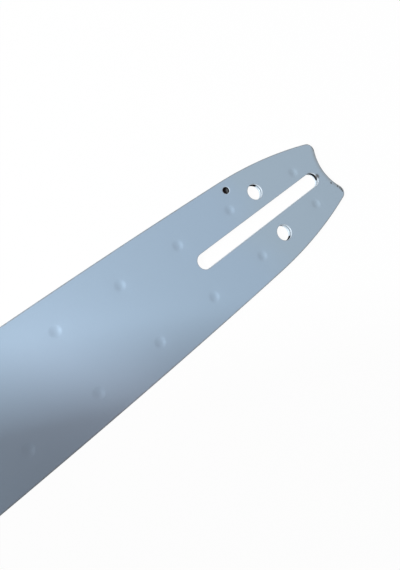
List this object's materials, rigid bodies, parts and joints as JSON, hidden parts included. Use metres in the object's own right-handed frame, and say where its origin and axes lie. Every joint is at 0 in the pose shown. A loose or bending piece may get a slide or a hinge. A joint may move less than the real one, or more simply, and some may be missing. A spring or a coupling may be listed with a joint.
{
  "type": "chainsaw guide bar",
  "caption": "Flat laminated chainsaw guide bar with a stud slot, tensioner and oil holes at its notched tail, grooved crowned rails and a sprocket in its round nose.",
  "frame": {"origin": "middle of the stud slot, half way through the bar's thickness", "axes": "+X along the bar from the tail to the nose, +Y across the bar, +Z out of the face that is up in the picture"},
  "size_m": [0.4311, 0.0602, 0.0038],
  "materials": {
    "side_plate": "satin silver-blue lacquer on sheet steel, worn to bare metal at its edges",
    "core": "dull bare steel",
    "sprocket": "hardened dark steel",
    "bearing": "ground bearing steel",
    "rivet": "set and ground steel"
  },
  "bodies": {
    "bar": {"upper_side_plate": "side_plate", "lower_side_plate": "side_plate", "core_plate": "core", "bearing_hub": "bearing", "nose_rivets": "rivet"},
    "sprocket": {"nose_sprocket": "sprocket"},
    "rollers": {"needle_roller_01": "bearing", "needle_roller_02": "bearing", "needle_roller_03": "bearing", "needle_roller_04": "bearing", "needle_roller_05": "bearing", "needle_roller_06": "bearing", "needle_roller_07": "bearing", "needle_roller_08": "bearing", "needle_roller_09": "bearing", "needle_roller_10": "bearing", "needle_roller_11": "bearing", "needle_roller_12": "bearing", "needle_roller_13": "bearing", "needle_roller_14": "bearing", "needle_roller_15": "bearing", "needle_roller_16": "bearing", "needle_roller_17": "bearing", "needle_roller_18": "bearing", "needle_roller_19": "bearing"}
  },
  "joints": [
    {"name": "sprocket_spin", "type": "hinge", "parent": "bar", "child": "sprocket", "pos_m": [0.352, 0, 0], "axis": [0, 0, 1], "continuous": true},
    {"name": "rollers_orbit", "type": "hinge", "parent": "bar", "child": "rollers", "pos_m": [0.352, 0, 0], "axis": [0, 0, 1], "continuous": true}
  ],
  "couplings": [
    {"joint": "rollers_orbit", "follows": "sprocket_spin", "ratio": 0.57967}
  ]
}
